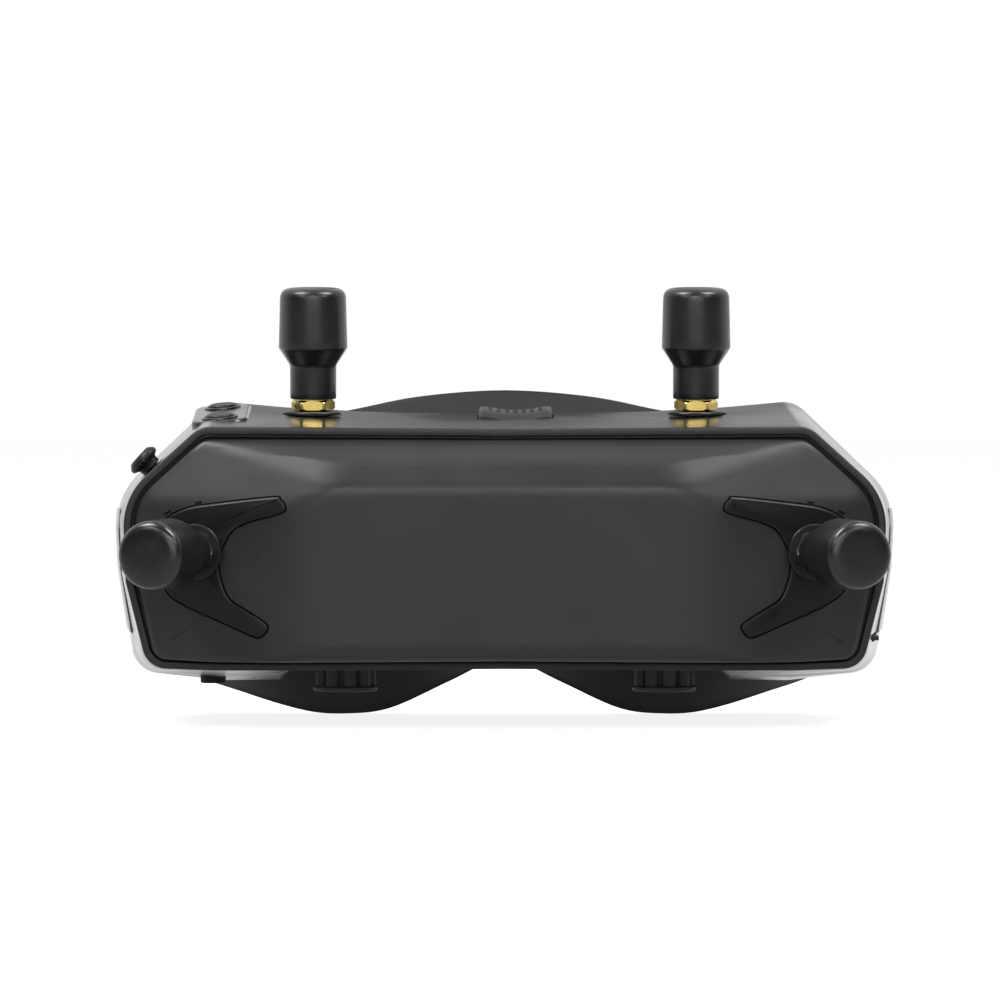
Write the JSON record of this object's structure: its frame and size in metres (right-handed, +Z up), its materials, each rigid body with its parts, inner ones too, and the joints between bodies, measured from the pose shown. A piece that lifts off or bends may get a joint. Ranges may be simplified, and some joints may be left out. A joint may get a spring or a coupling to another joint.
{
  "type": "fpv goggles",
  "caption": "Video goggles for piloting model drones: boxy housing, sculpted front cover, screw-on stub aerials, strap lugs, face seal and adjustable eyepieces.",
  "frame": {"origin": "on the surface the goggles stand on, under the middle of their bounding box", "axes": "+X to the right as seen from in front, -Y forwards away from the wearer's face, +Z up"},
  "size_m": [0.1598, 0.1049, 0.0883],
  "materials": {
    "gloss_black": "glossy moulded",
    "satin_grey": "satin lacquered",
    "matte_black": "fine moulded texture",
    "radome_black": "satin moulded",
    "rubber": "matt",
    "foam": "cloth covered foam",
    "gold_plate": "gold plated",
    "steel": "turned",
    "circuit_board": "solder mask",
    "lens_glass": "coated",
    "aluminium": "anodised"
  },
  "bodies": {
    "goggles": {"main_housing": "gloss_black", "front_bezel": "matte_black", "front_cover": "satin_grey", "rear_housing": "matte_black", "face_shroud": "rubber", "face_foam": "foam", "bracket_left": "matte_black", "bracket_right": "matte_black", "strap_lug_left": "matte_black", "strap_lug_right": "matte_black", "jack_top_left": "gold_plate", "jack_top_right": "gold_plate", "jack_front_left": "gold_plate", "jack_front_right": "gold_plate", "gasket_top_left": "matte_black", "gasket_top_right": "matte_black", "gasket_front_left": "matte_black", "gasket_front_right": "matte_black", "guide_rod_lower": "steel", "guide_rod_upper": "steel", "rod_bracket_left": "matte_black", "rod_bracket_right": "matte_black", "main_board": "circuit_board", "heat_sink": "aluminium", "fan_housing": "matte_black", "vent_scoop": "matte_black", "card_socket": "steel", "port_plug": "rubber", "power_jack": "steel"},
    "aerial_top_left": {"radome_top_left": "radome_black", "core_top_left": "gold_plate"},
    "nut_top_left": {"nut_top_left": "gold_plate"},
    "aerial_front_left": {"radome_front_left": "radome_black", "core_front_left": "gold_plate"},
    "nut_front_left": {"nut_front_left": "steel"},
    "optics_left": {"carriage_left": "matte_black", "display_board_left": "circuit_board"},
    "barrel_left": {"lens_barrel_left": "matte_black", "eyepiece_lens_left": "lens_glass"},
    "knob_left": {"focus_knob_left": "rubber"},
    "aerial_top_right": {"radome_top_right": "radome_black", "core_top_right": "gold_plate"},
    "nut_top_right": {"nut_top_right": "gold_plate"},
    "aerial_front_right": {"radome_front_right": "radome_black", "core_front_right": "gold_plate"},
    "nut_front_right": {"nut_front_right": "steel"},
    "optics_right": {"carriage_right": "matte_black", "display_board_right": "circuit_board"},
    "barrel_right": {"lens_barrel_right": "matte_black", "eyepiece_lens_right": "lens_glass"},
    "knob_right": {"focus_knob_right": "rubber"},
    "button_front": {"button_front": "matte_black"},
    "button_rear": {"button_rear": "matte_black"},
    "stick_module": {"joystick_base": "matte_black"},
    "stick_gimbal": {"joystick_gimbal": "steel"},
    "stick_cap": {"joystick_cap": "matte_black"},
    "fan": {"fan_rotor": "matte_black"},
    "card": {"memory_card": "matte_black"}
  },
  "joints": [
    {"name": "aerial_top_left_lift", "type": "slide", "parent": "goggles", "child": "aerial_top_left", "axis": [0, -0.061, 0.9981], "range_m": [0, 0.00353]},
    {"name": "nut_top_left_turn", "type": "hinge", "parent": "aerial_top_left", "child": "nut_top_left", "pos_m": [-0.039, 0.0094, 0.0623], "axis": [0, -0.061, 0.9981], "range_deg": [0, 1800]},
    {"name": "aerial_front_left_lift", "type": "slide", "parent": "goggles", "child": "aerial_front_left", "axis": [-0.3256, -0.9455, 0], "range_m": [0, 0.00353]},
    {"name": "nut_front_left_turn", "type": "hinge", "parent": "aerial_front_left", "child": "nut_front_left", "pos_m": [-0.0616, -0.0259, 0.0351], "axis": [-0.3256, -0.9455, 0], "range_deg": [0, 1800]},
    {"name": "eye_distance_left", "type": "slide", "parent": "goggles", "child": "optics_left", "axis": [-1, 0, 0], "range_m": [-0.004, 0.003]},
    {"name": "focus_turn_left", "type": "hinge", "parent": "optics_left", "child": "knob_left", "pos_m": [-0.0325, 0.0104, 0.01], "axis": [0, 0, 1], "range_deg": [-49, 49]},
    {"name": "focus_slide_left", "type": "slide", "parent": "optics_left", "child": "barrel_left", "axis": [0, 1, 0], "range_m": [-0.00299, 0.00299]},
    {"name": "aerial_top_right_lift", "type": "slide", "parent": "goggles", "child": "aerial_top_right", "axis": [0, -0.061, 0.9981], "range_m": [0, 0.00353]},
    {"name": "nut_top_right_turn", "type": "hinge", "parent": "aerial_top_right", "child": "nut_top_right", "pos_m": [0.039, 0.0094, 0.0623], "axis": [0, -0.061, 0.9981], "range_deg": [0, 1800]},
    {"name": "aerial_front_right_lift", "type": "slide", "parent": "goggles", "child": "aerial_front_right", "axis": [0.3256, -0.9455, 0], "range_m": [0, 0.00353]},
    {"name": "nut_front_right_turn", "type": "hinge", "parent": "aerial_front_right", "child": "nut_front_right", "pos_m": [0.0616, -0.0259, 0.0351], "axis": [0.3256, -0.9455, 0], "range_deg": [0, 1800]},
    {"name": "eye_distance_right", "type": "slide", "parent": "goggles", "child": "optics_right", "axis": [1, 0, 0], "range_m": [-0.004, 0.003]},
    {"name": "focus_turn_right", "type": "hinge", "parent": "optics_right", "child": "knob_right", "pos_m": [0.0325, 0.0104, 0.01], "axis": [0, 0, -1], "range_deg": [-49, 49]},
    {"name": "focus_slide_right", "type": "slide", "parent": "optics_right", "child": "barrel_right", "axis": [0, 1, 0], "range_m": [-0.00299, 0.00299]},
    {"name": "button_front_press", "type": "slide", "parent": "goggles", "child": "button_front", "axis": [0.0792, 0.1207, -0.9895], "range_m": [0, 0.0008], "stiffness_N_per_m": 900, "springref_m": -0.0004},
    {"name": "button_rear_press", "type": "slide", "parent": "goggles", "child": "button_rear", "axis": [0.0792, 0.1207, -0.9895], "range_m": [0, 0.0008], "stiffness_N_per_m": 900, "springref_m": -0.0004},
    {"name": "joystick_press", "type": "slide", "parent": "goggles", "child": "stick_module", "axis": [0.7403, 0, -0.6723], "range_m": [0, 0.0004], "stiffness_N_per_m": 1500, "springref_m": -0.0004},
    {"name": "joystick_tilt_up", "type": "hinge", "parent": "stick_module", "child": "stick_gimbal", "pos_m": [-0.06962, -0.0111, 0.05056], "axis": [0, 1, 0], "range_deg": [-8, 8], "stiffness_Nm_per_rad": 0.08},
    {"name": "joystick_tilt_side", "type": "hinge", "parent": "stick_gimbal", "child": "stick_cap", "pos_m": [-0.06962, -0.0111, 0.05056], "axis": [0.6723, 0, 0.7403], "range_deg": [-8, 8], "stiffness_Nm_per_rad": 0.08},
    {"name": "fan_spin", "type": "hinge", "parent": "goggles", "child": "fan", "pos_m": [0.0022, 0.0129, 0.0545], "axis": [0, 0, 1], "continuous": true},
    {"name": "memory_card_out", "type": "slide", "parent": "goggles", "child": "card", "axis": [1, 0, 0], "range_m": [0, 0.006]}
  ],
  "couplings": [
    {"joint": "aerial_top_left_lift", "follows": "nut_top_left_turn", "m_per_rad": 0.0001123},
    {"joint": "aerial_front_left_lift", "follows": "nut_front_left_turn", "m_per_rad": 0.0001123},
    {"joint": "focus_slide_left", "follows": "focus_turn_left", "m_per_rad": 0.0035},
    {"joint": "aerial_top_right_lift", "follows": "nut_top_right_turn", "m_per_rad": 0.0001123},
    {"joint": "aerial_front_right_lift", "follows": "nut_front_right_turn", "m_per_rad": 0.0001123},
    {"joint": "focus_slide_right", "follows": "focus_turn_right", "m_per_rad": 0.0035}
  ]
}
